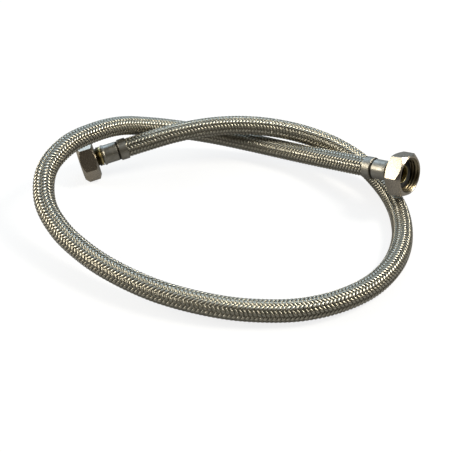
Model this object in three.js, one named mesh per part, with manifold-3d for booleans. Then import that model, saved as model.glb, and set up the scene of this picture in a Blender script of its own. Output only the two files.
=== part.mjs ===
// A flexible tap connector: a rubber tube in a braided steel sleeve, laid in one open loop.
// Each end carries a crimped ferrule, an insert stem, a rubber washer and a loose hex union nut.
// Units are millimetres, +Z is up and the loop lies on the plane z = 0.

import * as THREE from 'three';
import { mergeVertices } from 'three/addons/utils/BufferGeometryUtils.js';
import Module from 'manifold-3d';

const wasm = await Module();
wasm.setup();

// Hose
const HOSE_DIAMETER = 12.4;
const BRAID_WALL = 1;
const LINER_WALL = 0.9;
const LAYER_GAP = 0.3;
const HOSE_SIDES = 12;
const HOSE_STEPS = 64;

// Ferrule, measured along the fitting from the mouth where the hose goes in
const FERRULE_WALL = 0.4;
const BAND_LENGTH = 5.4;
const GROOVE_LENGTH = 1.2;
const GROOVE_DEPTH = 0.25;
const CRIMP_LENGTH = 8.2;
const CRIMP_DEPTH = 0.65;
const LIP_LENGTH = 1.7;
const LIP_HEIGHT = 0.4;
const CRIMP_CLEARANCE = 0.2;

// Insert stem
const TAIL_START = 1.2;
const TAIL_WALL = 0.6;
const BARB_COUNT = 4;
const BARB_HEIGHT = 0.4;
const BARB_CREST = 0.85;
const BARB_ROOT = 0.9;
const NECK_DIAMETER = 9.8;
const COLLAR_LENGTH = 2.6;
const COLLAR_GROOVE = 0.35;
const BEARING_DIAMETER = 11;
const FLANGE_DIAMETER = 17.2;
const FLANGE_LENGTH = 1;
const SPIGOT_DIAMETER = 10.8;
const SPIGOT_WALL = 0.6;
const SPIGOT_LENGTH = 2.1;
const FUNNEL_LENGTH = 4;

// Union nut, 24 mm across flats for a half inch pipe thread
const NUT_ACROSS_FLATS = 24;
const NUT_LENGTH = 10.8;
const NUT_BACK_WALL = 1.6;
const THREAD_MAJOR_DIAMETER = 20.96;
const THREAD_DEPTH = 1.16;
const MOUTH_CHAMFER = 0.5;
const FRONT_FACE_DIAMETER = 22.8;
const BACK_FACE_DIAMETER = 22;
const FRONT_CHAMFER_LENGTH = 2.2;
const BACK_CHAMFER_LENGTH = 1.7;
const NUT_TRAVEL = 0.8;

// Sealing washer, which passes the crests of the thread
const WASHER_THICKNESS = 1.8;

// Running clearance between pieces that turn, slide or seat on each other
const FIT = 0.3;
const TURNED_SIDES = 28;

// The nut on each end lies at one end of its travel and is turned to its own angle
const LEFT_NUT_FORWARD = NUT_TRAVEL;
const LEFT_NUT_TURN = 0;
const RIGHT_NUT_FORWARD = 0;
const RIGHT_NUT_TURN = 49;

// Centre line of the hose, from the mouth of the left ferrule to the mouth of the right one.
// It climbs over the left nut, dips under its own first strand and lifts the right end over it.
const ROUTE = [
  [-67.5, 55.3, 18.15],
  [-58, 58.3, 20.25],
  [-37, 64.9, 24.2],
  [-16, 70.9, 26],
  [4.5, 75.4, 25.5],
  [25.5, 77, 23.5],
  [46.3, 74.6, 20.5],
  [65.6, 67.3, 17],
  [81.4, 56.4, 12.8],
  [92.5, 42.4, 8.5],
  [99.6, 24.4, 6.25],
  [101.6, 3.6, 6.1],
  [98.9, -19, 6.05],
  [90.8, -40, 6.05],
  [77.2, -58.1, 6.05],
  [58.6, -71.3, 6.05],
  [37.5, -79, 6.05],
  [15.5, -81.1, 6.4],
  [-6, -79.9, 7.5],
  [-37, -71.6, 9.2],
  [-63.8, -57.6, 11.4],
  [-80.1, -45.5, 13.6],
  [-94.6, -31.5, 17.2],
  [-105.5, -14.8, 23.5],
  [-107.8, 5.8, 31.5],
  [-99.3, 26.3, 36],
  [-85.8, 44.3, 35.2],
  [-71.6, 60, 31.3],
  [-55.7, 72.3, 24.5],
  [-35.1, 78.5, 19.1],
  [-13, 80.9, 14.4],
  [9.2, 78.2, 11.5],
  [30.2, 71.8, 10.6],
  [49.2, 62.4, 12],
  [66.5, 50.1, 15.8],
  [76, 41.6, 19],
  [83.6, 35, 21.45],
];

// Sizes that follow from the ones above
const hoseRadius = HOSE_DIAMETER / 2;
const braidBoreRadius = hoseRadius - BRAID_WALL;
const linerRadius = braidBoreRadius - LAYER_GAP;
const hoseBoreRadius = linerRadius - LINER_WALL;
const crimpedRadius = hoseRadius - CRIMP_DEPTH;
const bandBoreRadius = hoseRadius + CRIMP_CLEARANCE;
const bandRadius = bandBoreRadius + FERRULE_WALL;
const crimpBoreRadius = crimpedRadius + CRIMP_CLEARANCE;
const crimpRadius = crimpBoreRadius + FERRULE_WALL;
const lipRadius = crimpRadius + LIP_HEIGHT;
const barbRadius = hoseBoreRadius - FIT;
const tailRadius = barbRadius - BARB_HEIGHT;
const stemBoreRadius = tailRadius - TAIL_WALL;
const neckRadius = NECK_DIAMETER / 2;
const bearingRadius = BEARING_DIAMETER / 2;
const spigotRadius = SPIGOT_DIAMETER / 2;
const flangeRadius = FLANGE_DIAMETER / 2;
const threadRadius = THREAD_MAJOR_DIAMETER / 2;
const washerRadius = threadRadius - THREAD_DEPTH - FIT;

// Places along a fitting, from the mouth of its ferrule outwards
const grooveStart = BAND_LENGTH;
const squeezeStart = grooveStart - CRIMP_DEPTH;
const crimpStart = grooveStart + GROOVE_LENGTH;
const lipStart = crimpStart + CRIMP_LENGTH;
const ferruleEnd = lipStart + LIP_LENGTH;
const hoseEnd = lipStart - FIT;
const collarStart = ferruleEnd + FIT;
const collarEnd = collarStart + COLLAR_LENGTH;
const flangeStart = collarEnd + FIT + NUT_TRAVEL + NUT_BACK_WALL + FIT;
const flangeEnd = flangeStart + FLANGE_LENGTH;
const spigotEnd = flangeEnd + SPIGOT_LENGTH;
const nutStart = collarEnd + FIT;
const washerStart = flangeEnd + FIT;

function vectors(points) {
  return points.map(([x, y, z]) => new THREE.Vector3(x, y, z));
}

// A closed profile of radius and place along the axis, turned about +Z
function turned(profile, sides = TURNED_SIDES) {
  const points = profile.map(([radius, along]) => new THREE.Vector2(radius, along));
  points.push(points[0].clone());
  const geometry = new THREE.LatheGeometry(points, sides);
  geometry.rotateX(Math.PI / 2);
  return geometry;
}

function solid(geometry) {
  const bare = geometry.clone();
  bare.deleteAttribute('normal');
  bare.deleteAttribute('uv');
  const merged = mergeVertices(bare, 1e-4);
  const index = merged.index.array;
  return new wasm.Manifold(new wasm.Mesh({
    numProp: 3,
    vertProperties: new Float32Array(merged.attributes.position.array),
    triVerts: new Uint32Array(index),
  }));
}

function geometryOf(manifold) {
  const mesh = manifold.getMesh();
  const geometry = new THREE.BufferGeometry();
  geometry.setAttribute('position', new THREE.BufferAttribute(mesh.vertProperties, 3));
  geometry.setIndex(new THREE.BufferAttribute(mesh.triVerts, 1));
  geometry.computeVertexNormals();
  return geometry;
}

function piece(name, geometry, material) {
  const mesh = new THREE.Mesh(geometry, new THREE.MeshStandardMaterial(material));
  mesh.name = name;
  return mesh;
}

// Frame of a fitting: +Z runs outwards along its axis and +Y is its highest side
function fittingFrame(mouth, inside) {
  const along = mouth.clone().sub(inside).normalize();
  const across = new THREE.Vector3(0, 0, 1).cross(along).normalize();
  const upward = along.clone().cross(across);
  const frame = new THREE.Matrix4().makeBasis(across, upward, along);
  return frame.setPosition(mouth);
}

function hosePath(leftFrame, rightFrame) {
  const route = vectors(ROUTE);
  const first = new THREE.Vector3(0, 0, hoseEnd).applyMatrix4(leftFrame);
  const last = new THREE.Vector3(0, 0, hoseEnd).applyMatrix4(rightFrame);
  return new THREE.CatmullRomCurve3([first, ...route, last], false, 'centripetal');
}

function circle(shape, radius, clockwise) {
  const turn = (clockwise ? -2 : 2) * Math.PI / HOSE_SIDES;
  for (let side = 0; side < HOSE_SIDES; side += 1) {
    const x = radius * Math.cos(side * turn);
    const y = radius * Math.sin(side * turn);
    if (side === 0) {
      shape.moveTo(x, y);
    } else {
      shape.lineTo(x, y);
    }
  }
  shape.closePath();
  return shape;
}

function tubeAlong(path, outerRadius, innerRadius) {
  const section = circle(new THREE.Shape(), outerRadius, false);
  section.holes.push(circle(new THREE.Path(), innerRadius, true));
  return new THREE.ExtrudeGeometry(section, { steps: HOSE_STEPS, extrudePath: path });
}

// The crimp squeezes the braid from just inside the band to its end
function crimpCutter(frame) {
  const cutter = turned([
    [crimpedRadius, squeezeStart],
    [bandRadius, squeezeStart],
    [bandRadius, hoseEnd + CRIMP_CLEARANCE],
    [crimpedRadius, hoseEnd + CRIMP_CLEARANCE],
  ]);
  cutter.applyMatrix4(frame);
  return solid(cutter);
}

function hoseBraid(path, frames) {
  let braid = solid(tubeAlong(path, hoseRadius, braidBoreRadius));
  for (const frame of frames) {
    braid = braid.subtract(crimpCutter(frame));
  }
  return geometryOf(braid);
}

function innerTube(path) {
  return tubeAlong(path, linerRadius, hoseBoreRadius);
}

function ferrule() {
  const grooveRadius = crimpRadius - GROOVE_DEPTH;
  const wallBoreRadius = neckRadius + FIT;
  const bead = LIP_LENGTH / 4;
  return turned([
    [bandBoreRadius, 0],
    [bandRadius, 0],
    [bandRadius, grooveStart - GROOVE_DEPTH],
    [grooveRadius, grooveStart + GROOVE_DEPTH],
    [grooveRadius, crimpStart - GROOVE_DEPTH],
    [crimpRadius, crimpStart],
    [crimpRadius, lipStart],
    [lipRadius, lipStart + bead],
    [lipRadius, ferruleEnd - bead],
    [crimpRadius, ferruleEnd],
    [wallBoreRadius, ferruleEnd],
    [wallBoreRadius, lipStart],
    [crimpBoreRadius, lipStart],
    [crimpBoreRadius, grooveStart],
    [bandBoreRadius, squeezeStart],
  ]);
}

// Saw teeth that point back towards the nut, so that the tube can't slip off
function barbs() {
  const pitch = (hoseEnd - TAIL_START) / (BARB_COUNT + 1);
  const profile = [];
  for (let barb = 0; barb < BARB_COUNT; barb += 1) {
    const start = TAIL_START + barb * pitch;
    profile.push([tailRadius, start]);
    profile.push([barbRadius, start + BARB_CREST * pitch]);
    profile.push([tailRadius, start + BARB_ROOT * pitch]);
  }
  return profile;
}

function insertStem() {
  const spigotBoreRadius = spigotRadius - SPIGOT_WALL;
  const collarMiddle = (collarStart + collarEnd) / 2;
  return turned([
    [stemBoreRadius, TAIL_START],
    ...barbs(),
    [tailRadius, lipStart],
    [neckRadius, lipStart],
    [neckRadius, collarStart],
    [crimpRadius, collarStart],
    [crimpRadius, collarMiddle - COLLAR_GROOVE],
    [crimpRadius - COLLAR_GROOVE, collarMiddle],
    [crimpRadius, collarMiddle + COLLAR_GROOVE],
    [crimpRadius, collarEnd],
    [bearingRadius, collarEnd],
    [bearingRadius, flangeStart],
    [flangeRadius, flangeStart],
    [flangeRadius, flangeEnd],
    [spigotRadius, flangeEnd],
    [spigotRadius, spigotEnd],
    [spigotBoreRadius, spigotEnd],
    [spigotBoreRadius, collarEnd],
    [stemBoreRadius, collarEnd - FUNNEL_LENGTH],
  ]);
}

function hexPrism(acrossFlats, length) {
  const shape = new THREE.Shape();
  const cornerRadius = acrossFlats / Math.sqrt(3);
  for (let corner = 0; corner < 6; corner += 1) {
    const angle = corner * Math.PI / 3;
    const x = cornerRadius * Math.cos(angle);
    const y = cornerRadius * Math.sin(angle);
    if (corner === 0) {
      shape.moveTo(x, y);
    } else {
      shape.lineTo(x, y);
    }
  }
  shape.closePath();
  return new THREE.ExtrudeGeometry(shape, { depth: length, bevelEnabled: false });
}

// Modelled with its back face at 0 and its threaded mouth at NUT_LENGTH
function unionNut() {
  const cornerRadius = NUT_ACROSS_FLATS / Math.sqrt(3);
  const holeRadius = bearingRadius + FIT;
  const chamfered = turned([
    [0, 0],
    [BACK_FACE_DIAMETER / 2, 0],
    [cornerRadius, BACK_CHAMFER_LENGTH],
    [cornerRadius, NUT_LENGTH - FRONT_CHAMFER_LENGTH],
    [FRONT_FACE_DIAMETER / 2, NUT_LENGTH],
    [0, NUT_LENGTH],
  ], 2 * TURNED_SIDES);
  const bore = turned([
    [0, -FIT],
    [holeRadius, -FIT],
    [holeRadius, NUT_BACK_WALL],
    [threadRadius, NUT_BACK_WALL],
    [threadRadius, NUT_LENGTH - MOUTH_CHAMFER],
    [threadRadius + MOUTH_CHAMFER + FIT, NUT_LENGTH + FIT],
    [0, NUT_LENGTH + FIT],
  ], 2 * TURNED_SIDES);
  const blank = solid(hexPrism(NUT_ACROSS_FLATS, NUT_LENGTH));
  return geometryOf(blank.intersect(solid(chamfered)).subtract(solid(bore)));
}

function sealingWasher() {
  const boreRadius = spigotRadius + FIT;
  return turned([
    [boreRadius, 0],
    [washerRadius, 0],
    [washerRadius, WASHER_THICKNESS],
    [boreRadius, WASHER_THICKNESS],
  ]);
}

function fitting(side, frame, nutForward, nutTurn) {
  const group = new THREE.Group();
  frame.decompose(group.position, group.quaternion, group.scale);
  group.add(piece(`${side}_ferrule`, ferrule(), { color: 0xb9b6ae, roughness: 0.28, metalness: 1 }));
  group.add(piece(`${side}_insert_stem`, insertStem(), { color: 0xc9a95c, roughness: 0.25, metalness: 1 }));
  const washer = piece(`${side}_sealing_washer`, sealingWasher(), { color: 0x141414, roughness: 0.7 });
  washer.position.z = washerStart + nutForward;
  group.add(washer);
  const nut = piece(`${side}_union_nut`, unionNut(), { color: 0xd5d3cc, roughness: 0.15, metalness: 1 });
  nut.position.z = nutStart + nutForward;
  nut.rotation.z = THREE.MathUtils.degToRad(nutTurn);
  group.add(nut);
  return group;
}

const route = vectors(ROUTE);
const leftFrame = fittingFrame(route.at(0), route.at(1));
const rightFrame = fittingFrame(route.at(-1), route.at(-2));
const path = hosePath(leftFrame, rightFrame);

const hose = new THREE.Group();
hose.add(piece('hose_braid', hoseBraid(path, [leftFrame, rightFrame]), {
  color: 0x9d998c,
  roughness: 0.4,
  metalness: 0.8,
}));
hose.add(piece('inner_tube', innerTube(path), { color: 0x1a1a1a, roughness: 0.8 }));
hose.add(fitting('left', leftFrame, LEFT_NUT_FORWARD, LEFT_NUT_TURN));
hose.add(fitting('right', rightFrame, RIGHT_NUT_FORWARD, RIGHT_NUT_TURN));

export default hose;
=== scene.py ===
import math
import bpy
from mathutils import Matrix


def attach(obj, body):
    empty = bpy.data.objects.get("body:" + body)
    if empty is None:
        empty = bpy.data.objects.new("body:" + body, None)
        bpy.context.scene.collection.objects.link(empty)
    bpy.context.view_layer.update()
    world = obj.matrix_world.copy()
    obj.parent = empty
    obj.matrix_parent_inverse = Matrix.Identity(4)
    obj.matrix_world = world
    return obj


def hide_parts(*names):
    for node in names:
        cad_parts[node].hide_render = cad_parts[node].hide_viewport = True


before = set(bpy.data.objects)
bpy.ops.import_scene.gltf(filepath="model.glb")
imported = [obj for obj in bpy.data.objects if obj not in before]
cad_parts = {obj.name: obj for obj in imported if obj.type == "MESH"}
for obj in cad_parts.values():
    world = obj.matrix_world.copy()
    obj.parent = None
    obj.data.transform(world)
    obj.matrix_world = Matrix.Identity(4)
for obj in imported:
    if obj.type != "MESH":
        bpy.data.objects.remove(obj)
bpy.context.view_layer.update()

from types import SimpleNamespace

import bmesh
import bpy
import numpy as np
from bpy.props import FloatProperty, FloatVectorProperty, IntProperty, PointerProperty
from mathutils import Matrix, Vector

bl_info = {
    "name": "Braided tap connector",
    "version": (1, 0, 0),
    "blender": (4, 5, 0),
    "location": "View3D > Sidebar > Hose",
    "description": "Dresses the packed model of a braided flexible hose and sets its stage",
    "category": "Object",
}

MM = 0.001
# Just under the lowest wires of the hose, in metres
FLOOR_LEVEL = -0.00016

# Centre line of the hose in metres, from the mouth of the left ferrule to the mouth of the right one
ROUTE = [
    (-0.0675, 0.0553, 0.01815), (-0.058, 0.0583, 0.02025), (-0.037, 0.0649, 0.0242),
    (-0.016, 0.0709, 0.026), (0.0045, 0.0754, 0.0255), (0.0255, 0.077, 0.0235),
    (0.0463, 0.0746, 0.0205), (0.0656, 0.0673, 0.017), (0.0814, 0.0564, 0.0128),
    (0.0925, 0.0424, 0.0085), (0.0996, 0.0244, 0.00625), (0.1016, 0.0036, 0.0061),
    (0.0989, -0.019, 0.00605), (0.0908, -0.04, 0.00605), (0.0772, -0.0581, 0.00605),
    (0.0586, -0.0713, 0.00605), (0.0375, -0.079, 0.00605), (0.0155, -0.0811, 0.0064),
    (-0.006, -0.0799, 0.0075), (-0.037, -0.0716, 0.0092), (-0.0638, -0.0576, 0.0114),
    (-0.0801, -0.0455, 0.0136), (-0.0946, -0.0315, 0.0172), (-0.1055, -0.0148, 0.0235),
    (-0.1078, 0.0058, 0.0315), (-0.0993, 0.0263, 0.036), (-0.0858, 0.0443, 0.0352),
    (-0.0716, 0.06, 0.0313), (-0.0557, 0.0723, 0.0245), (-0.0351, 0.0785, 0.0191),
    (-0.013, 0.0809, 0.0144), (0.0092, 0.0782, 0.0115), (0.0302, 0.0718, 0.0106),
    (0.0492, 0.0624, 0.012), (0.0665, 0.0501, 0.0158), (0.076, 0.0416, 0.019),
    (0.0836, 0.035, 0.02145),
]

# How far each nut stands forward of the back of its travel, in metres, and its turn in degrees
NUT_PLACES = {"left": (0.0008, 0.0), "right": (0.0, 49.0)}

# The sense in which each set of bands winds round the hose
HANDS = {"right_hand": 1, "left_hand": -1}

# The place of each soft lamp, its width and height in metres, and its tint
LAMPS = {
    "left": ((-0.88, -0.02, 0.41), (0.5, 0.4), (1, 0.95, 0.84)),
    "right": ((0.65, 0.03, 0.76), (0.32, 0.32), (1, 0.95, 0.84)),
    "sky": ((-0.15, 0.9, 0.7), (1.4, 0.5), (0.62, 0.79, 1)),
    "top": ((0.05, -0.1, 1.1), (1.0, 1.0), (0.82, 0.91, 1)),
}
LAMPS_AIM = (0, 0, 0.01)


def length(name, description, default):
    return FloatProperty(name=name, description=description, default=default, unit="LENGTH", precision=5)


def angle(name, description, degrees):
    return FloatProperty(
        name=name, description=description, default=math.radians(degrees), subtype="ANGLE"
    )


def power(name, description, default):
    return FloatProperty(name=name, description=description, default=default, min=0)


def colour(name, description, default):
    return FloatVectorProperty(
        name=name, description=description, default=default, subtype="COLOR", size=3, min=0, max=1
    )


def share(name, description, default):
    return FloatProperty(name=name, description=description, default=default, min=0, max=1)


class HoseSizes(bpy.types.PropertyGroup):
    """Sizes of the hose and its woven sleeve"""

    diameter: length("Hose diameter", "Over the crowns of the braid", 0.0124)
    lay: length("Lay", "Length of one turn of a band", 0.02664)
    bands: IntProperty(name="Bands", description="Bands of wire that wind each way", default=12, min=2)
    band_width: length("Band width", "Width of one band of wires", 0.00166)
    band_thickness: length("Band thickness", "Thickness of a band at its crown", 0.0003)
    weave_depth: length("Weave depth", "How much higher a band lies over than under", 0.0008)
    wires: IntProperty(name="Wires", description="Wires side by side in one band", default=5, min=1)
    tuck: length("Tuck", "How far the drawn braid runs into a ferrule", 0.0045)
    liner_diameter: length("Liner diameter", "Outside of the rubber tube", 0.0098)
    liner_bore: length("Liner bore", "Inside of the rubber tube", 0.008)


class FittingSizes(bpy.types.PropertyGroup):
    """Sizes of the crimped ferrule, the insert stem, the washer and the union nut"""

    ferrule_wall: length("Ferrule wall", "Sheet thickness of the ferrule", 0.0004)
    band_length: length("Band", "Wide band at the mouth", 0.0054)
    groove_length: length("Groove", "Groove behind the band", 0.0012)
    groove_depth: length("Groove depth", "Depth of that groove", 0.00025)
    crimp_length: length("Crimp", "Narrow crimped cylinder", 0.0082)
    crimp_depth: length("Crimp depth", "How much the crimp squeezes the braid", 0.00065)
    crimp_mark: length("Crimp mark", "Depth of the marks of the jaws", 0.00009)
    jaws: IntProperty(name="Jaws", description="Jaws of the crimping tool", default=8, min=3)
    lip_length: length("Lip", "Rolled lip at the ferrule's end", 0.0017)
    lip_height: length("Lip height", "Height of that lip", 0.0004)
    crimp_clearance: length("Crimp clearance", "Gap between braid and ferrule", 0.0002)
    clearance: length("Clearance", "Gap between pieces that turn or seat on each other", 0.0003)
    tail_start: length("Tail start", "Where the barbed tail begins", 0.0012)
    tail_wall: length("Tail wall", "Wall of the tail", 0.0006)
    barbs: IntProperty(name="Barbs", description="Saw teeth on the tail", default=4, min=1)
    barb_height: length("Barb height", "Height of a saw tooth", 0.0004)
    neck_diameter: length("Neck", "Neck inside the ferrule's end wall", 0.0098)
    bearing_diameter: length("Bearing", "Land that the nut turns on", 0.011)
    collar_length: length("Collar", "Grooved collar behind the nut", 0.0026)
    collar_groove: length("Collar groove", "Depth of the groove in the collar", 0.00035)
    flange_diameter: length("Flange", "Flange that pulls the washer tight", 0.0172)
    flange_length: length("Flange length", "Thickness of the flange", 0.001)
    spigot_diameter: length("Spigot", "Spigot inside the washer", 0.0108)
    spigot_wall: length("Spigot wall", "Wall of the spigot", 0.0006)
    spigot_length: length("Spigot length", "How far it stands past the flange", 0.0021)
    funnel_length: length("Funnel", "Taper between its two bores", 0.004)
    across_flats: length("Across flats", "Width of the hexagon", 0.024)
    nut_length: length("Nut length", "Length of the union nut", 0.0108)
    back_wall: length("Back wall", "Wall that bears on the flange", 0.0016)
    corner_round: length("Corner rounding", "Rounding of the hexagon's corners", 0.0005)
    front_face: length("Front face", "Diameter of the nut's front face", 0.0228)
    back_face: length("Back face", "Diameter of the nut's back face", 0.022)
    front_chamfer: length("Front chamfer", "Length of the front chamfer at a corner", 0.0022)
    back_chamfer: length("Back chamfer", "Length of the back chamfer at a corner", 0.0017)
    travel: length("Nut travel", "How far the nut slides on its neck", 0.0008)
    thread_major: length("Thread diameter", "Major diameter of the thread", 0.02096)
    thread_depth: length("Thread depth", "From the root of the thread to its crest", 0.00116)
    thread_pitch: length("Thread pitch", "From one crest to the next", 0.001814)
    thread_relief: share("Thread relief", "Share of a pitch left plain behind the thread", 0.6)
    mouth_chamfer: length("Mouth chamfer", "Chamfer at the thread's mouth", 0.0005)
    washer_thickness: length("Washer", "Thickness of the sealing washer", 0.0018)


class FinishColours(bpy.types.PropertyGroup):
    """Colours and roughness of the surfaces"""

    braid: colour("Braid", "Steel wire", (0.88, 0.83, 0.7))
    # Painted shade: this colour stands for shade in the dips of the weave and between wires, and also
    # tints the tarnish patches
    braid_stain_and_shade: colour("Braid shade", "Wire in the dips of the weave", (0.3, 0.278, 0.22))
    braid_roughness: share("Braid roughness", "Roughness of the wire", 0.32)
    steel: colour("Ferrule", "Satin stainless steel", (0.4, 0.38, 0.33))
    steel_stain: colour("Ferrule stain", "Darker patches on the ferrule", (0.22, 0.2, 0.16))
    steel_roughness: share("Ferrule roughness", "Roughness of the ferrule", 0.34)
    nickel: colour("Nut", "Bright nickel plate", (0.53, 0.47, 0.385))
    nickel_stain: colour("Nut stain", "Dull patches on the nut", (0.34, 0.285, 0.21))
    nickel_roughness: share("Nut roughness", "Roughness of the nut", 0.2)
    thread: colour("Thread", "Dull metal of the threaded bore", (0.24, 0.195, 0.12))
    brass: colour("Stem", "Turned brass", (0.68, 0.57, 0.29))
    brass_stain: colour("Stem stain", "Tarnished brass", (0.38, 0.3, 0.13))
    brass_roughness: share("Stem roughness", "Roughness of the stem", 0.24)
    rubber: colour("Rubber", "Washer and liner", (0.012, 0.012, 0.013))
    rubber_bloom: colour("Rubber bloom", "Pale bloom on the rubber", (0.045, 0.045, 0.043))
    rubber_roughness: share("Rubber roughness", "Roughness of the rubber", 0.6)


class StageSettings(bpy.types.PropertyGroup):
    """Camera, floor and lamps"""

    sensor: FloatProperty(
        name="Sensor", description="Width of the sensor in mm", default=36.0, unit="CAMERA"
    )
    lens: FloatProperty(
        name="Lens", description="Focal length on that sensor", default=62.76, unit="CAMERA"
    )
    eye: FloatVectorProperty(
        name="Eye", description="Place of the camera", default=(-0.0026, -0.378, 0.2839),
        subtype="TRANSLATION",
    )
    pitch: angle("Pitch", "How far the camera looks down", 37.0)
    roll: angle("Roll", "Roll of the camera", 1.6)
    floor_size: length("Floor", "Width of the floor", 6.0)
    floor_shade: share("Floor shade", "Grey level of the floor", 0.2)
    floor_glow: share("Floor glow", "Light that the floor shows of its own", 0.82)
    floor_mirrored: share("Mirrored glow", "Share of that light that metal shows", 0.15)
    world_front: share("World in front", "Light from in front and below", 0.1)
    front_tint: colour("Front tint", "Tint of that light", (0.75, 0.68, 0.58))
    world_above: share("World above", "Light from above and behind", 0.3)
    above_tint: colour("Above tint", "Tint of that light", (0.7, 0.86, 1.0))
    behind_share: share("Behind", "How much facing back counts against facing up", 0.9)
    left_watts: power("Left lamp", "Watts of the wide warm lamp", 6.0)
    right_watts: power("Right lamp", "Watts of the small warm lamp", 8.5)
    sky_watts: power("Sky lamp", "Watts of the cool lamp behind", 4.8)
    top_watts: power("Top lamp", "Watts of the lamp overhead", 1.2)


def fitting_frame(mouth, inside):
    """Frame of a fitting: +Z runs outwards along its axis and +Y is its highest side."""
    along = (Vector(mouth) - Vector(inside)).normalized()
    across = Vector((0, 0, 1)).cross(along).normalized()
    upward = along.cross(across)
    turn = Matrix((across, upward, along)).transposed().to_4x4()
    return Matrix.Translation(Vector(mouth)) @ turn


FITTING_FRAMES = {
    "left": fitting_frame(ROUTE[0], ROUTE[1]),
    "right": fitting_frame(ROUTE[-1], ROUTE[-2]),
}


def fitting_places(scene):
    """Radii and places along a fitting, from the mouth of its ferrule outwards."""
    hose, sizes = scene.hose_sizes, scene.hose_fitting
    at = SimpleNamespace()
    at.hose = hose.diameter / 2
    at.band_bore = at.hose + sizes.crimp_clearance
    at.band = at.band_bore + sizes.ferrule_wall
    at.crimp_bore = at.hose - sizes.crimp_depth + sizes.crimp_clearance
    at.crimp = at.crimp_bore + sizes.ferrule_wall
    at.lip = at.crimp + sizes.lip_height
    at.neck = sizes.neck_diameter / 2
    at.bearing = sizes.bearing_diameter / 2
    at.barb = hose.liner_bore / 2 - sizes.clearance
    at.tail = at.barb - sizes.barb_height
    at.stem_bore = at.tail - sizes.tail_wall
    at.spigot = sizes.spigot_diameter / 2
    at.flange = sizes.flange_diameter / 2
    at.thread = sizes.thread_major / 2
    at.washer = at.thread - sizes.thread_depth - sizes.clearance
    at.groove_start = sizes.band_length
    at.crimp_start = at.groove_start + sizes.groove_length
    at.lip_start = at.crimp_start + sizes.crimp_length
    at.ferrule_end = at.lip_start + sizes.lip_length
    at.hose_end = at.lip_start - sizes.clearance
    at.collar_start = at.ferrule_end + sizes.clearance
    at.collar_end = at.collar_start + sizes.collar_length
    at.nut_start = at.collar_end + sizes.clearance
    at.flange_start = at.nut_start + sizes.travel + sizes.back_wall + sizes.clearance
    at.flange_end = at.flange_start + sizes.flange_length
    at.spigot_end = at.flange_end + sizes.spigot_length
    at.washer_start = at.flange_end + sizes.clearance
    return at


# Centre line

def centripetal(points, samples):
    """A centripetal Catmull-Rom curve through the points, with so many samples for each stretch."""
    points = np.array(points, dtype=float)
    lead_in, lead_out = 2 * points[0] - points[1], 2 * points[-1] - points[-2]
    points = np.concatenate([[lead_in], points, [lead_out]])
    steps = np.linalg.norm(np.diff(points, axis=0), axis=1) ** 0.5
    u = np.linspace(0, 1, samples, endpoint=False)[:, None]
    curve = []
    for index in range(1, len(points) - 2):
        before, start, end, after = points[index - 1:index + 3]
        d0, d1, d2 = steps[index - 1:index + 2]
        leave = ((start - before) / d0 - (end - before) / (d0 + d1) + (end - start) / d1) * d1
        reach = ((end - start) / d1 - (after - start) / (d1 + d2) + (after - end) / d2) * d1
        cubic = 2 * (start - end) + leave + reach
        square = 3 * (end - start) - 2 * leave - reach
        curve.append(start + leave * u + square * u ** 2 + cubic * u ** 3)
    curve.append(points[-2:-1])
    return np.concatenate(curve)


class CentreLine:
    """The hose's centre line with a frame that doesn't twist, measured from the left ferrule's mouth."""

    def __init__(self, hose_end):
        ends = [tuple(FITTING_FRAMES[side] @ Vector((0, 0, hose_end))) for side in ("left", "right")]
        self.points = centripetal([ends[0], *ROUTE, ends[1]], samples=48)
        steps = np.linalg.norm(np.diff(self.points, axis=0), axis=1)
        self.along = np.concatenate([[0], np.cumsum(steps)]) - hose_end
        self.mouth_to_mouth = self.along[-1] - hose_end
        tangents = np.gradient(self.points, self.along, axis=0)
        self.tangents = tangents / np.linalg.norm(tangents, axis=1)[:, None]
        self.normals = self.carried_normals()
        self.sides = np.cross(self.tangents, self.normals)

    def carried_normals(self):
        """Each normal is the one before it, turned as little as the bend needs."""
        normals = np.empty_like(self.points)
        carried = np.array([0.0, 0.0, 1.0])
        for index, tangent in enumerate(self.tangents):
            carried = carried - carried.dot(tangent) * tangent
            carried /= np.linalg.norm(carried)
            normals[index] = carried
        return normals

    def at(self, along, values):
        """Values of the line at any places along it, in an array of the same shape."""
        parts = [np.interp(along, self.along, values[:, axis]) for axis in range(3)]
        return np.stack(parts, axis=-1)

    def surface(self, along, angle, radius):
        """Points at places along the line, at an angle round it and a radius from it."""
        normal = self.at(along, self.normals)
        side = self.at(along, self.sides)
        outwards = np.cos(angle)[..., None] * normal + np.sin(angle)[..., None] * side
        return self.at(along, self.points) + radius[..., None] * outwards


# Meshes

def grid_faces(rows, columns, row_loop, column_loop):
    """Quads between the points of a grid that may close on itself either way."""
    row = np.arange(rows if row_loop else rows - 1)
    column = np.arange(columns if column_loop else columns - 1)
    row, column = (part.ravel() for part in np.meshgrid(row, column, indexing="ij"))
    next_row, next_column = (row + 1) % rows, (column + 1) % columns
    corners = [(row, column), (next_row, column), (next_row, next_column), (row, next_column)]
    return np.stack([r * columns + c for r, c in corners], axis=-1)


def add_attribute(mesh, name, values):
    """Stores a number or a vector for each vertex."""
    values = np.asarray(values, dtype=np.float32)
    kind, field = ("FLOAT_VECTOR", "vector") if values.ndim == 2 else ("FLOAT", "value")
    mesh.attributes.new(name, kind, "POINT").data.foreach_set(field, values.ravel())


def new_piece(name, points, faces, surface):
    """A smooth closed mesh object with its faces pointing outwards."""
    mesh = bpy.data.meshes.new(name)
    mesh.from_pydata(points.tolist(), [], [list(face) for face in faces])
    mesh.validate()
    shaped = bmesh.new()
    shaped.from_mesh(mesh)
    bmesh.ops.recalc_face_normals(shaped, faces=shaped.faces)
    shaped.to_mesh(mesh)
    shaped.free()
    mesh.shade_smooth()
    mesh.materials.append(surface)
    piece = bpy.data.objects.new(name, mesh)
    bpy.context.scene.collection.objects.link(piece)
    return piece


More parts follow.
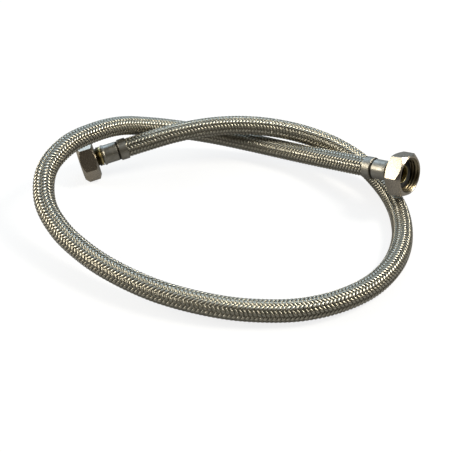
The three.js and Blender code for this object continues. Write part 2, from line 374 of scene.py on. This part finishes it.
def flatten_shading(piece):
    """Wide faces keep their own normal and the small roundings carry the bend."""
    weighted = piece.modifiers.new("weighted_normals", "WEIGHTED_NORMAL")
    weighted.mode = "FACE_AREA"
    weighted.weight = 80


def rounded(profile, steps=4, most=0.45):
    """A closed profile of (radius, along, rounding), in metres, with its corners made into curves."""
    corners = np.array([corner[:2] for corner in profile])
    outline = []
    for index, (_, _, rounding) in enumerate(profile):
        corner = corners[index]
        back = corners[index - 1] - corner
        ahead = corners[(index + 1) % len(corners)] - corner
        back_length, ahead_length = np.linalg.norm(back), np.linalg.norm(ahead)
        if rounding == 0:
            outline.append(corner)
            continue
        reach = min(rounding, most * back_length, most * ahead_length)
        start, end = corner + back / back_length * reach, corner + ahead / ahead_length * reach
        for share_done in np.linspace(0, 1, steps):
            rest = 1 - share_done
            outline.append(rest ** 2 * start + 2 * rest * share_done * corner + share_done ** 2 * end)
    return np.array(outline)


def ring_piece(name, angles, profiles, place, surface):
    """A solid ring in a fitting's frame, from one closed profile at each angle."""
    radius, along = profiles[..., 0], profiles[..., 1]
    angles = np.asarray(angles)[:, None]
    local = np.stack([radius * np.cos(angles), radius * np.sin(angles), along], axis=-1).reshape(-1, 3)
    turn = np.array(place.to_3x3())
    points = local @ turn.T + np.array(place.translation)
    rows, columns = profiles.shape[:2]
    piece = new_piece(name, points, grid_faces(rows, columns, True, True), surface)
    add_attribute(piece.data, "turned_place", local / MM)
    flatten_shading(piece)
    return piece


def turned_piece(name, profile, place, surface, sides=112, shape=None):
    """A turned solid; shape may change the radius of its points from angle to angle."""
    angles = np.arange(sides) * (math.tau / sides)
    outline = rounded(profile)
    profiles = np.repeat(outline[None], sides, axis=0)
    if shape:
        profiles[..., 0] += shape(angles[:, None], outline[:, 1][None], outline[:, 0][None])
    return ring_piece(name, angles, profiles, place, surface)


# Node helpers

def feed(socket, value):
    """Links a socket to another one, or sets it to a number or to a colour."""
    if isinstance(value, bpy.types.NodeSocket):
        socket.id_data.links.new(value, socket)
    else:
        socket.default_value = (*value, 1) if socket.type == "RGBA" else value


def node(tree, kind, given=None, **settings):
    """A new node with these settings, and with these values or links given to its inputs."""
    made = tree.nodes.new(kind)
    for name, value in settings.items():
        setattr(made, name, value)
    for socket, value in (given or {}).items():
        feed(made.inputs[socket], value)
    return made


def calculate(tree, operation, *values, clamp=False):
    """The result of a maths node whose inputs are numbers or sockets."""
    given = dict(enumerate(values))
    return node(tree, "ShaderNodeMath", given, operation=operation, use_clamp=clamp).outputs[0]


def blend_colours(tree, factor, first, second):
    """The first colour where the factor is 0, the second where it is 1."""
    # The colours of this node are its inputs 6 and 7 and its output 2
    given = {0: factor, 6: first, 7: second}
    return node(tree, "ShaderNodeMix", given, data_type="RGBA").outputs[2]


def noise(tree, place, scale, detail=3.0):
    """Smooth random values from 0 to 1."""
    given = {"Vector": place, "Scale": scale, "Detail": detail}
    return node(tree, "ShaderNodeTexNoise", given).outputs["Fac"]


def contrast(tree, value, low, high):
    """Stretches the part of a value between low and high to the whole range."""
    given = {"Value": value, "From Min": low, "From Max": high}
    return node(tree, "ShaderNodeMapRange", given).outputs["Result"]


def axes(tree, vector):
    """The X, Y and Z of a vector."""
    return node(tree, "ShaderNodeSeparateXYZ", {"Vector": vector}).outputs


def turned_place(tree):
    """Where a point lies on its fitting, in millimetres: X and Y across the axis, Z along it."""
    return node(tree, "ShaderNodeAttribute", attribute_name="turned_place").outputs["Vector"]


def distance_squared(tree, place):
    """The square of the distance from the Z axis."""
    square = calculate(tree, "MULTIPLY", place["X"], place["X"])
    return calculate(tree, "MULTIPLY_ADD", place["Y"], place["Y"], square)


def new_group(name, inputs, outputs):
    """An empty shader node group; its inputs are given by their defaults, its outputs by their kinds."""
    tree = bpy.data.node_groups.new(name, "ShaderNodeTree")
    for label, default in inputs.items():
        kind = "NodeSocketColor" if isinstance(default, tuple) else "NodeSocketFloat"
        socket = tree.interface.new_socket(name=label, in_out="INPUT", socket_type=kind)
        socket.default_value = default
    for label, kind in outputs.items():
        tree.interface.new_socket(name=label, in_out="OUTPUT", socket_type=kind)
    return tree, tree.nodes.new("NodeGroupInput").outputs, tree.nodes.new("NodeGroupOutput").inputs


def tarnish_group():
    """Soft patches that change a surface's colour and roughness."""
    tree, given, result = new_group(
        "tarnish",
        {
            "Colour": (0.5, 0.5, 0.5, 1),
            "Stain": (0.2, 0.2, 0.2, 1),
            "Amount": 0.5,
            "Patches per Metre": 150.0,
            "Roughness": 0.3,
        },
        {"Colour": "NodeSocketColor", "Roughness": "NodeSocketFloat"},
    )
    place = node(tree, "ShaderNodeTexCoord").outputs["Object"]
    patches = contrast(tree, noise(tree, place, given["Patches per Metre"]), low=0.38, high=0.66)
    finer, speck_share, stain_roughness = 9.0, 0.2, 0.22
    fine_scale = calculate(tree, "MULTIPLY", given["Patches per Metre"], finer)
    specks = contrast(tree, noise(tree, place, fine_scale, detail=2.0), low=0.35, high=0.75)
    soft = calculate(tree, "MULTIPLY", patches, 1 - speck_share)
    both = calculate(tree, "MULTIPLY_ADD", specks, speck_share, soft)
    factor = calculate(tree, "MULTIPLY", both, given["Amount"], clamp=True)
    feed(result["Colour"], blend_colours(tree, factor, given["Colour"], given["Stain"]))
    rougher = calculate(tree, "MULTIPLY_ADD", factor, stain_roughness, given["Roughness"], clamp=True)
    feed(result["Roughness"], rougher)
    return tree


def turning_marks_group():
    """Fine rings that a lathe or a polishing wheel leaves round a fitting's axis."""
    tree, given, result = new_group(
        "turning_marks",
        {"Marks per Millimetre": 6.0, "Waviness": 0.1},
        {"Height": "NodeSocketFloat", "Mask": "NodeSocketFloat"},
    )
    place = turned_place(tree)
    turned = axes(tree, place)
    radius = calculate(tree, "SQRT", distance_squared(tree, turned))
    wander = noise(tree, place, scale=0.4)
    shifted = calculate(tree, "MULTIPLY_ADD", wander, given["Waviness"], turned["Z"])
    rings = node(tree, "ShaderNodeCombineXYZ", {"X": radius, "Y": shifted}).outputs[0]
    height = noise(tree, rings, given["Marks per Millimetre"], detail=2.0)
    feed(result["Height"], height)
    feed(result["Mask"], contrast(tree, height, low=0.4, high=0.62))
    return tree


def rubber_group():
    """The pale bloom and the fine grain of moulded rubber."""
    tree, given, result = new_group(
        "rubber_bloom",
        {"Rubber": (0.01, 0.01, 0.01, 1), "Bloom": (0.05, 0.05, 0.05, 1), "Grain per Metre": 2500.0},
        {"Colour": "NodeSocketColor", "Height": "NodeSocketFloat"},
    )
    place = node(tree, "ShaderNodeTexCoord").outputs["Object"]
    coarser = 0.12
    cloud_scale = calculate(tree, "MULTIPLY", given["Grain per Metre"], coarser)
    cloud = contrast(tree, noise(tree, place, cloud_scale), low=0.4, high=0.7)
    feed(result["Colour"], blend_colours(tree, cloud, given["Rubber"], given["Bloom"]))
    feed(result["Height"], noise(tree, place, given["Grain per Metre"], detail=4.0))
    return tree


GROUPS = {"tarnish": tarnish_group, "turning_marks": turning_marks_group, "rubber_bloom": rubber_group}


def group_outputs(tree, name, **values):
    """The outputs of a shared node group, which is built the first time."""
    placed = node(tree, "ShaderNodeGroup")
    placed.node_tree = bpy.data.node_groups.get(name) or GROUPS[name]()
    for label, value in values.items():
        feed(placed.inputs[label.replace("_", " ")], value)
    return placed.outputs


# Materials

def new_material(name, metallic):
    """A material, its node tree and its shader."""
    surface = bpy.data.materials.new(name)
    surface.use_nodes = True
    shader = surface.node_tree.nodes["Principled BSDF"]
    shader.inputs["Metallic"].default_value = metallic
    return surface, surface.node_tree, shader


def add_bump(tree, shader, height, strength, distance):
    """Lets a height from 0 to 1 tilt the surface; the distance is in metres."""
    given = {"Strength": strength, "Distance": distance, "Height": height}
    feed(shader.inputs["Normal"], node(tree, "ShaderNodeBump", given).outputs["Normal"])


def tarnished_metal(name, base, stain, roughness, amount, patches, marks, mark_depth):
    """A metal with soft stains and turning marks; returns it, its tree, shader and stained colour."""
    surface, tree, shader = new_material(name, metallic=1)
    stained = group_outputs(
        tree, "tarnish", Colour=base, Stain=stain, Amount=amount, Patches_per_Metre=patches,
        Roughness=roughness,
    )
    rings = group_outputs(tree, "turning_marks", Marks_per_Millimetre=marks)
    mark_roughness = 0.08
    rubbed = calculate(tree, "MULTIPLY_ADD", rings["Mask"], mark_roughness, stained["Roughness"])
    feed(shader.inputs["Roughness"], rubbed)
    add_bump(tree, shader, rings["Height"], strength=mark_depth, distance=0.00004)
    return surface, tree, shader, stained["Colour"]


def braid_material(colours, wires):
    """Bands of bright wires, with painted shade between the wires and where a band dips under its
    neighbours.
    """
    surface, tree, shader = new_material("woven_steel_wire", metallic=1)
    stained = group_outputs(
        tree, "tarnish", Colour=colours.braid, Stain=colours.braid_stain_and_shade, Amount=0.35,
        Patches_per_Metre=260.0, Roughness=colours.braid_roughness,
    )
    lift = node(tree, "ShaderNodeAttribute", attribute_name="lift").outputs["Fac"]
    across = node(tree, "ShaderNodeAttribute", attribute_name="across").outputs["Fac"]
    strands = calculate(tree, "COSINE", calculate(tree, "MULTIPLY", across, math.tau * wires))
    crowns = calculate(tree, "POWER", calculate(tree, "MULTIPLY_ADD", strands, -0.5, 0.5), 0.5)
    # Painted shade: the colour darkens between the wires and where a band dips under its neighbours
    outside_painted_shade = calculate(tree, "MULTIPLY", crowns, contrast(tree, lift, low=0.72, high=1.0))
    dressed = blend_colours(tree, outside_painted_shade, colours.braid_stain_and_shade, stained["Colour"])
    feed(shader.inputs["Base Color"], dressed)
    feed(shader.inputs["Roughness"], stained["Roughness"])
    add_bump(tree, shader, crowns, strength=0.05, distance=0.00008)
    return surface


def painted_shade_between(tree, shader, stained, dark, start, end):
    """Paints shade on a turned piece between two places, in millimetres along its axis."""
    along = axes(tree, turned_place(tree))["Z"]
    past = calculate(tree, "GREATER_THAN", along, start)
    before = calculate(tree, "LESS_THAN", along, end)
    between = calculate(tree, "MULTIPLY", past, before)
    feed(shader.inputs["Base Color"], blend_colours(tree, between, stained, dark))


def ferrule_material(colours, groove_from, groove_to):
    """Satin steel, with painted shade in the groove; the two places are in millimetres along the axis.
    """
    surface, tree, shader, stained = tarnished_metal(
        "satin_ferrule_steel", colours.steel, colours.steel_stain, colours.steel_roughness,
        amount=0.55, patches=210.0, marks=5.0, mark_depth=0.5,
    )
    # Painted shade: the groove is darkened where shade falls in it
    groove_shade = colours.steel_stain * 0.2
    painted_shade_between(tree, shader, stained, groove_shade, groove_from, groove_to)
    return surface


def stem_material(colours, shade_from, shade_to):
    """Brass, with painted shade from the collar's front land on into the nut; the two places are in
    millimetres too.
    """
    surface, tree, shader, stained = tarnished_metal(
        "turned_brass", colours.brass, colours.brass_stain, colours.brass_roughness,
        amount=0.5, patches=240.0, marks=7.0, mark_depth=0.5,
    )
    # Painted shade: the collar's front land and the stem under the nut are darkened where shade falls
    black = colours.brass_stain * 0.12
    painted_shade_between(tree, shader, stained, black, shade_from, shade_to)
    return surface


def nut_material(colours, thread_radius):
    """Bright nickel plate, and a darker colour within the thread's radius, in millimetres."""
    surface, tree, shader, stained = tarnished_metal(
        "bright_nickel_plate", colours.nickel, colours.nickel_stain, colours.nickel_roughness,
        amount=0.4, patches=120.0, marks=3.0, mark_depth=0.25,
    )
    squares = distance_squared(tree, axes(tree, turned_place(tree)))
    within = calculate(tree, "LESS_THAN", squares, thread_radius ** 2)
    feed(shader.inputs["Base Color"], blend_colours(tree, within, stained, colours.thread))
    return surface


def rubber_material(name, colours, grain_per_metre):
    """Black rubber with a pale bloom and a fine grain."""
    surface, tree, shader = new_material(name, metallic=0)
    shader.inputs["Roughness"].default_value = colours.rubber_roughness
    bloom = group_outputs(
        tree, "rubber_bloom", Rubber=colours.rubber, Bloom=colours.rubber_bloom,
        Grain_per_Metre=grain_per_metre,
    )
    feed(shader.inputs["Base Color"], bloom["Colour"])
    add_bump(tree, shader, bloom["Height"], strength=0.3, distance=0.00005)
    return surface


# Braid and liner

def woven_bands(name, hand, line, hose, surface):
    """All the bands that wind one way, each a ribbon that goes over two bands and under two."""
    crossing = hose.lay / (2 * hose.bands)
    turn = math.tau / hose.lay
    sections = 2 * int((line.mouth_to_mouth + 2 * hose.tuck) / crossing) + 1
    along = -hose.tuck + np.arange(sections) * crossing / 2
    passed = along / crossing
    lean = math.atan(turn * hose.diameter / 2)
    across = np.array([-1.0, -0.6, 0.0, 0.6, 1.0])
    arch = 2.2
    crown = hose.band_thickness * (1 - np.abs(across) ** arch)
    low = hose.diameter / 2 - hose.band_thickness - hose.weave_depth
    points, lifts, faces = [], [], []
    for band in range(hose.bands):
        phase = (2 * band + hand * passed) * (math.pi / 2) - math.pi / 4
        height = 0.5 + 0.5 * hand * np.cos(phase)
        place = along[:, None] - hand * math.sin(lean) * across * hose.band_width / 2
        angle = band * math.tau / hose.bands + hand * turn * along[:, None]
        angle = angle + math.cos(lean) * across * hose.band_width / hose.diameter
        radius = low + height[:, None] * hose.weave_depth + crown
        first = len(points) * sections * len(across)
        points.append(line.surface(place, angle, radius).reshape(-1, 3))
        lifts.append(np.repeat(height, len(across)))
        faces.extend((grid_faces(sections, len(across), False, True) + first).tolist())
        for end in (first, first + (sections - 1) * len(across)):
            faces.append([end + point for point in range(len(across))])
    piece = new_piece(name, np.concatenate(points), faces, surface)
    add_attribute(piece.data, "lift", np.concatenate(lifts))
    add_attribute(piece.data, "across", np.tile((across + 1) / 2, sections * hose.bands))
    return piece


def tube_piece(name, line, outer, bore, surface, sides=32, step=0.0022):
    """A round tube with a bore along the whole line, closed at its two ends by rings."""
    along = np.linspace(line.along[0], line.along[-1], int((line.along[-1] - line.along[0]) / step))
    angles = np.arange(sides) * (math.tau / sides)
    layers = []
    for radius in (outer, bore):
        place, angle = np.meshgrid(along, angles, indexing="ij")
        layers.append(line.surface(place, angle, np.full(place.shape, radius)))
    rows = np.concatenate([layers[0], layers[1][::-1]])
    return new_piece(name, rows.reshape(-1, 3), grid_faces(len(rows), sides, True, True), surface)


# Fittings

def ferrule_piece(side, at, sizes, surface):
    """A wide band at the mouth, a groove, the crimped cylinder and a rolled lip."""
    groove = at.crimp - sizes.groove_depth
    bead = sizes.lip_length / 4
    wall_bore = at.neck + sizes.clearance
    burr, rim, edge, shoulder, roll = 0.00008, 0.00018, 0.0002, 0.0003, 0.0004
    profile = [
        (at.band_bore, 0, burr),
        (at.band, 0, rim),
        (at.band, at.groove_start - sizes.groove_depth, edge),
        (groove, at.groove_start + sizes.groove_depth, edge),
        (groove, at.crimp_start - sizes.groove_depth, edge),
        (at.crimp, at.crimp_start, shoulder),
        (at.crimp, at.lip_start, edge),
        (at.lip, at.lip_start + bead, roll),
        (at.lip, at.ferrule_end - bead, roll),
        (at.crimp, at.ferrule_end, edge),
        (wall_bore, at.ferrule_end, 0),
        (wall_bore, at.lip_start, 0),
        (at.crimp_bore, at.lip_start, 0),
        (at.crimp_bore, at.groove_start, 0),
        (at.band_bore, at.groove_start - sizes.crimp_depth, 0),
    ]

    def jaw_marks(angle, along, radius):
        """Shallow hollows in the outside of the crimp, one for each jaw."""
        outside = radius > at.crimp - sizes.groove_depth / 2
        crimped = (along > at.groove_start + sizes.groove_depth) & (along < at.lip_start + bead / 2)
        narrowed = 1.5
        mark = np.abs(np.cos(angle * sizes.jaws / 2)) ** narrowed
        return -sizes.crimp_mark * mark * (outside & crimped)

    return turned_piece(
        f"{side}_crimped_ferrule", profile, FITTING_FRAMES[side], surface, sides=160, shape=jaw_marks
    )


def barb_corners(at, sizes):
    """Saw teeth along the tail, each rising slowly outwards and falling away behind its crest."""
    pitch = (at.hose_end - sizes.tail_start) / (sizes.barbs + 1)
    crest, foot, edge = 0.85 * pitch, 0.9 * pitch, 0.0001
    corners = []
    for barb in range(sizes.barbs):
        start = sizes.tail_start + barb * pitch
        corners += [(at.tail, start, 0), (at.barb, start + crest, edge), (at.tail, start + foot, 0)]
    return corners


def stem_piece(side, at, sizes, surface):
    """A barbed tail, a neck, the grooved collar, the nut's land, a flange and a spigot."""
    spigot_bore = at.spigot - sizes.spigot_wall
    middle = (at.collar_start + at.collar_end) / 2
    edge, rim, land, throat = 0.00012, 0.0002, 0.00025, 0.0006
    profile = [
        (at.stem_bore, sizes.tail_start, edge),
        *barb_corners(at, sizes),
        (at.tail, at.lip_start, 0),
        (at.neck, at.lip_start, edge),
        (at.neck, at.collar_start, 0),
        (at.crimp, at.collar_start, land),
        (at.crimp, middle - sizes.collar_groove, rim),
        (at.crimp - sizes.collar_groove, middle, edge),
        (at.crimp, middle + sizes.collar_groove, rim),
        (at.crimp, at.collar_end, land),
        (at.bearing, at.collar_end, 0),
        (at.bearing, at.flange_start, 0),
        (at.flange, at.flange_start, edge),
        (at.flange, at.flange_end, edge),
        (at.spigot, at.flange_end, 0),
        (at.spigot, at.spigot_end, rim),
        (spigot_bore, at.spigot_end, rim),
        (spigot_bore, at.collar_end, throat),
        (at.stem_bore, at.collar_end - sizes.funnel_length, throat),
    ]
    return turned_piece(f"{side}_brass_stem", profile, FITTING_FRAMES[side], surface)


def washer_piece(side, at, sizes, surface):
    """A flat ring round the spigot, as far forward as its nut."""
    start = at.washer_start + NUT_PLACES[side][0]
    end = start + sizes.washer_thickness
    bore = at.spigot + sizes.clearance
    edge = 0.0003
    profile = [(bore, start, edge), (at.washer, start, edge), (at.washer, end, edge), (bore, end, edge)]
    return turned_piece(f"{side}_rubber_washer", profile, FITTING_FRAMES[side], surface)


def nut_angles(sizes):
    """Angles round a hexagon, their distance from a corner, and a corner's centre and reach."""
    sixth, half_sixth = math.pi / 3, math.pi / 6
    centre = (sizes.across_flats / 2 - sizes.corner_round) / math.cos(half_sixth)
    reach = math.atan2(
        sizes.corner_round * math.sin(half_sixth), centre + sizes.corner_round * math.cos(half_sixth)
    )
    rounding = np.linspace(-reach, reach, 7)
    flat = np.linspace(reach, sixth - reach, 20)[1:-1]
    one_side = np.concatenate([rounding, flat])
    angles = np.concatenate([one_side + corner * sixth for corner in range(6)])
    from_corner = np.where(one_side > half_sixth, one_side - sixth, one_side)
    return angles, np.tile(from_corner, 6), centre, reach


def nut_piece(side, at, sizes, surface):
    """A hexagon with conical chamfers and a helical thread in its bore."""
    forward, turned_by = NUT_PLACES[side]
    angles, from_corner, centre, reach = nut_angles(sizes)
    apothem, corner = sizes.across_flats / 2, sizes.across_flats / math.sqrt(3)
    hole = at.bearing + sizes.clearance
    front, back = sizes.front_face / 2, sizes.back_face / 2
    end = sizes.nut_length
    thread_start = sizes.back_wall + sizes.thread_relief * sizes.thread_pitch
    mouth_rim, mouth_slope = 0.2, 1.2
    levels = np.linspace(end - mouth_rim * sizes.mouth_chamfer, thread_start, 72)
    run_out = np.clip((levels - thread_start) / sizes.thread_pitch, 0, 1)
    mouth = at.thread + sizes.mouth_chamfer - mouth_slope * (end - levels)
    burr, inner, face, seat, edge, root = 0.00008, 0.0001, 0.00012, 0.00015, 0.00016, 0.0002
    profiles = []
    for angle, offset in zip(angles, from_corner):
        if abs(offset) < reach:
            sideways = centre * math.sin(offset)
            hexagon = centre * math.cos(offset) + math.sqrt(sizes.corner_round ** 2 - sideways ** 2)
        else:
            hexagon = apothem / math.cos(math.pi / 6 - abs(offset))
        back_edge = sizes.back_chamfer * (hexagon - back) / (corner - back)
        front_edge = end - sizes.front_chamfer * (hexagon - front) / (corner - front)
        turn = math.tau * levels / sizes.thread_pitch - angle
        ridge = sizes.thread_depth * (0.5 + 0.5 * np.cos(turn))
        bore = np.maximum(at.thread - ridge * run_out, mouth)
        outline = [(hole, 0, seat), (back, 0, face), (hexagon, back_edge, edge)]
        outline += [(hexagon, front_edge, edge), (front, end, face)]
        outline += [(at.thread + sizes.mouth_chamfer, end, burr)]
        outline += [(radius, level, 0) for radius, level in zip(bore, levels)]
        outline += [(at.thread, sizes.back_wall, root), (hole, sizes.back_wall, inner)]
        profiles.append(rounded(outline))
    place = FITTING_FRAMES[side] @ Matrix.Translation((0, 0, at.nut_start + forward))
    place = place @ Matrix.Rotation(math.radians(turned_by), 4, "Z")
    return ring_piece(f"{side}_threaded_nut", angles, np.array(profiles), place, surface)


def dress(piece, body, node_name):
    """A finished piece rides a body and stands for a CAD node."""
    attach(piece, body)
    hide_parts(node_name)


class HOSE_OT_camera(bpy.types.Operator):
    """Sets the camera at the photograph's angle"""

    bl_idname = "hose.set_camera"
    bl_label = "Set the camera"

    def execute(self, context):
        stage = context.scene.hose_stage
        forward = Vector((0, math.cos(stage.pitch), -math.sin(stage.pitch)))
        level = Vector((1, 0, 0))
        upright = level.cross(forward)
        right = math.cos(stage.roll) * level + math.sin(stage.roll) * upright
        up = math.cos(stage.roll) * upright - math.sin(stage.roll) * level
        camera = bpy.data.objects.new("camera", bpy.data.cameras.new("camera"))
        camera.data.lens = stage.lens
        camera.data.sensor_width = stage.sensor
        turn = Matrix((right, up, -forward)).transposed().to_4x4()
        camera.matrix_world = Matrix.Translation(Vector(stage.eye)) @ turn
        context.scene.collection.objects.link(camera)
        context.scene.camera = camera
        return {"FINISHED"}


class HOSE_OT_braid(bpy.types.Operator):
    bl_idname = "hose.weave_braid"
    bl_label = "Weave the braid"

    def execute(self, context):
        scene = context.scene
        hose = scene.hose_sizes
        line = CentreLine(fitting_places(scene).hose_end)
        wire = braid_material(scene.hose_colours, hose.wires)
        rubber = rubber_material("black_liner_rubber", scene.hose_colours, grain_per_metre=1800.0)
        for hand, sign in HANDS.items():
            woven = woven_bands(f"{hand}_braid_bands", sign, line, hose, wire)
            dress(woven, "hose", "hose_braid")
        liner = tube_piece("rubber_liner", line, hose.liner_diameter / 2, hose.liner_bore / 2, rubber)
        dress(liner, "hose", "inner_tube")
        return {"FINISHED"}


class HOSE_OT_ferrules(bpy.types.Operator):
    """Makes the crimped ferrule on each end"""

    bl_idname = "hose.crimp_ferrules"
    bl_label = "Crimp the ferrules"

    def execute(self, context):
        scene = context.scene
        at = fitting_places(scene)
        steel = ferrule_material(scene.hose_colours, at.groove_start / MM, at.crimp_start / MM)
        for side in FITTING_FRAMES:
            ferrule = ferrule_piece(side, at, scene.hose_fitting, steel)
            dress(ferrule, "hose", f"{side}_ferrule")
        return {"FINISHED"}


class HOSE_OT_stems(bpy.types.Operator):
    """Turns the brass insert stem in each end"""

    bl_idname = "hose.turn_stems"
    bl_label = "Turn the stems"

    def execute(self, context):
        scene = context.scene
        at = fitting_places(scene)
        collar_middle = (at.collar_start + at.collar_end) / 2
        flange_middle = (at.flange_start + at.flange_end) / 2
        brass = stem_material(scene.hose_colours, collar_middle / MM, flange_middle / MM)
        for side in FITTING_FRAMES:
            stem = stem_piece(side, at, scene.hose_fitting, brass)
            dress(stem, "hose", f"{side}_insert_stem")
        return {"FINISHED"}


class HOSE_OT_washers(bpy.types.Operator):
    """Moulds the rubber sealing washer in each nut"""

    bl_idname = "hose.mould_washers"
    bl_label = "Mould the washers"

    def execute(self, context):
        scene = context.scene
        at = fitting_places(scene)
        rubber = rubber_material("black_washer_rubber", scene.hose_colours, grain_per_metre=3200.0)
        for side in FITTING_FRAMES:
            washer = washer_piece(side, at, scene.hose_fitting, rubber)
            dress(washer, f"{side}_washer", f"{side}_sealing_washer")
        return {"FINISHED"}


class HOSE_OT_nuts(bpy.types.Operator):
    """Cuts the threaded union nut on each end"""

    bl_idname = "hose.cut_nuts"
    bl_label = "Cut the union nuts"

    def execute(self, context):
        scene = context.scene
        at = fitting_places(scene)
        beyond_the_root = 0.05
        nickel = nut_material(scene.hose_colours, at.thread / MM + beyond_the_root)
        for side in FITTING_FRAMES:
            nut = nut_piece(side, at, scene.hose_fitting, nickel)
            dress(nut, f"{side}_nut", f"{side}_union_nut")
        return {"FINISHED"}


def floor_material(stage):
    """A floor that keeps the shadow; white to the camera, and dimmer in what metal mirrors."""
    surface, tree, shader = new_material("pale_floor", metallic=0)
    shader.inputs["Base Color"].default_value = (stage.floor_shade,) * 3 + (1,)
    shader.inputs["Roughness"].default_value = 0.9
    shader.inputs["Specular IOR Level"].default_value = 0.0
    shader.inputs["Emission Color"].default_value = (1, 1, 1, 1)
    ray = node(tree, "ShaderNodeLightPath").outputs
    mirrored = calculate(tree, "MAXIMUM", ray["Is Glossy Ray"], ray["Is Transmission Ray"])
    mirrored = calculate(tree, "MULTIPLY", mirrored, stage.floor_mirrored)
    seen = calculate(tree, "MAXIMUM", ray["Is Camera Ray"], mirrored)
    feed(shader.inputs["Emission Strength"], calculate(tree, "MULTIPLY", seen, stage.floor_glow))
    return surface


def world_light(scene, stage):
    """White to the camera; to all else dim and warm from in front, brighter and cooler from above."""
    world = bpy.data.worlds.new("studio")
    world.use_nodes = True
    tree = world.node_tree
    background = tree.nodes["Background"]
    seen = node(tree, "ShaderNodeLightPath").outputs["Is Camera Ray"]
    facing = axes(tree, node(tree, "ShaderNodeTexCoord").outputs["Generated"])
    above = calculate(tree, "MULTIPLY_ADD", facing["Y"], stage.behind_share, facing["Z"], clamp=True)
    gain = stage.world_above - stage.world_front
    strength = calculate(tree, "MULTIPLY_ADD", above, gain, stage.world_front)
    feed(background.inputs["Strength"], calculate(tree, "MAXIMUM", seen, strength))
    tint = blend_colours(tree, above, stage.front_tint, stage.above_tint)
    feed(background.inputs["Color"], blend_colours(tree, seen, tint, (1, 1, 1)))
    scene.world = world


def soft_lamp(scene, name, watts):
    """Hangs one of the lamps and turns it to the object."""
    place, size, tint = LAMPS[name]
    lamp = bpy.data.lights.new(name, "AREA")
    lamp.shape = "RECTANGLE"
    lamp.size, lamp.size_y = size
    lamp.energy = watts
    lamp.color = tint
    placed = bpy.data.objects.new(name, lamp)
    placed.location = place
    placed.rotation_euler = (Vector(LAMPS_AIM) - Vector(place)).to_track_quat("-Z", "Y").to_euler()
    scene.collection.objects.link(placed)


class HOSE_OT_stage(bpy.types.Operator):
    """Lays the pale floor and hangs the soft lamps"""

    bl_idname = "hose.set_stage"
    bl_label = "Set the stage"

    def execute(self, context):
        scene = context.scene
        stage = scene.hose_stage
        half = stage.floor_size / 2
        corners = [(-half, -half), (half, -half), (half, half), (-half, half)]
        mesh = bpy.data.meshes.new("floor")
        mesh.from_pydata([(x, y, FLOOR_LEVEL) for x, y in corners], [], [(0, 1, 2, 3)])
        mesh.materials.append(floor_material(stage))
        floor = bpy.data.objects.new("floor", mesh)
        scene.collection.objects.link(floor)
        world_light(scene, stage)
        for name in LAMPS:
            soft_lamp(scene, name, getattr(stage, f"{name}_watts"))
        scene.view_settings.view_transform = "Standard"
        return {"FINISHED"}


OPERATORS = [
    HOSE_OT_camera, HOSE_OT_braid, HOSE_OT_ferrules, HOSE_OT_stems, HOSE_OT_washers, HOSE_OT_nuts,
    HOSE_OT_stage,
]


class HOSE_PT_panel(bpy.types.Panel):
    """Lists the steps that dress the hose"""

    bl_idname = "HOSE_PT_panel"
    bl_label = "Braided hose"
    bl_space_type = "VIEW_3D"
    bl_region_type = "UI"
    bl_category = "Hose"

    def draw(self, context):
        for step in OPERATORS:
            self.layout.operator(step.bl_idname)


SETTINGS = {
    "hose_sizes": HoseSizes,
    "hose_fitting": FittingSizes,
    "hose_colours": FinishColours,
    "hose_stage": StageSettings,
}


def register():
    for kind in (*SETTINGS.values(), *OPERATORS, HOSE_PT_panel):
        bpy.utils.register_class(kind)
    for name, kind in SETTINGS.items():
        setattr(bpy.types.Scene, name, PointerProperty(type=kind))


def unregister():
    for name in SETTINGS:
        delattr(bpy.types.Scene, name)
    for kind in (HOSE_PT_panel, *OPERATORS, *SETTINGS.values()):
        bpy.utils.unregister_class(kind)


def main():
    register()
    bpy.ops.hose.set_camera()
    bpy.ops.hose.weave_braid()
    bpy.ops.hose.crimp_ferrules()
    bpy.ops.hose.turn_stems()
    bpy.ops.hose.mould_washers()
    bpy.ops.hose.cut_nuts()
    bpy.ops.hose.set_stage()


if __name__ == "__main__":
    main()
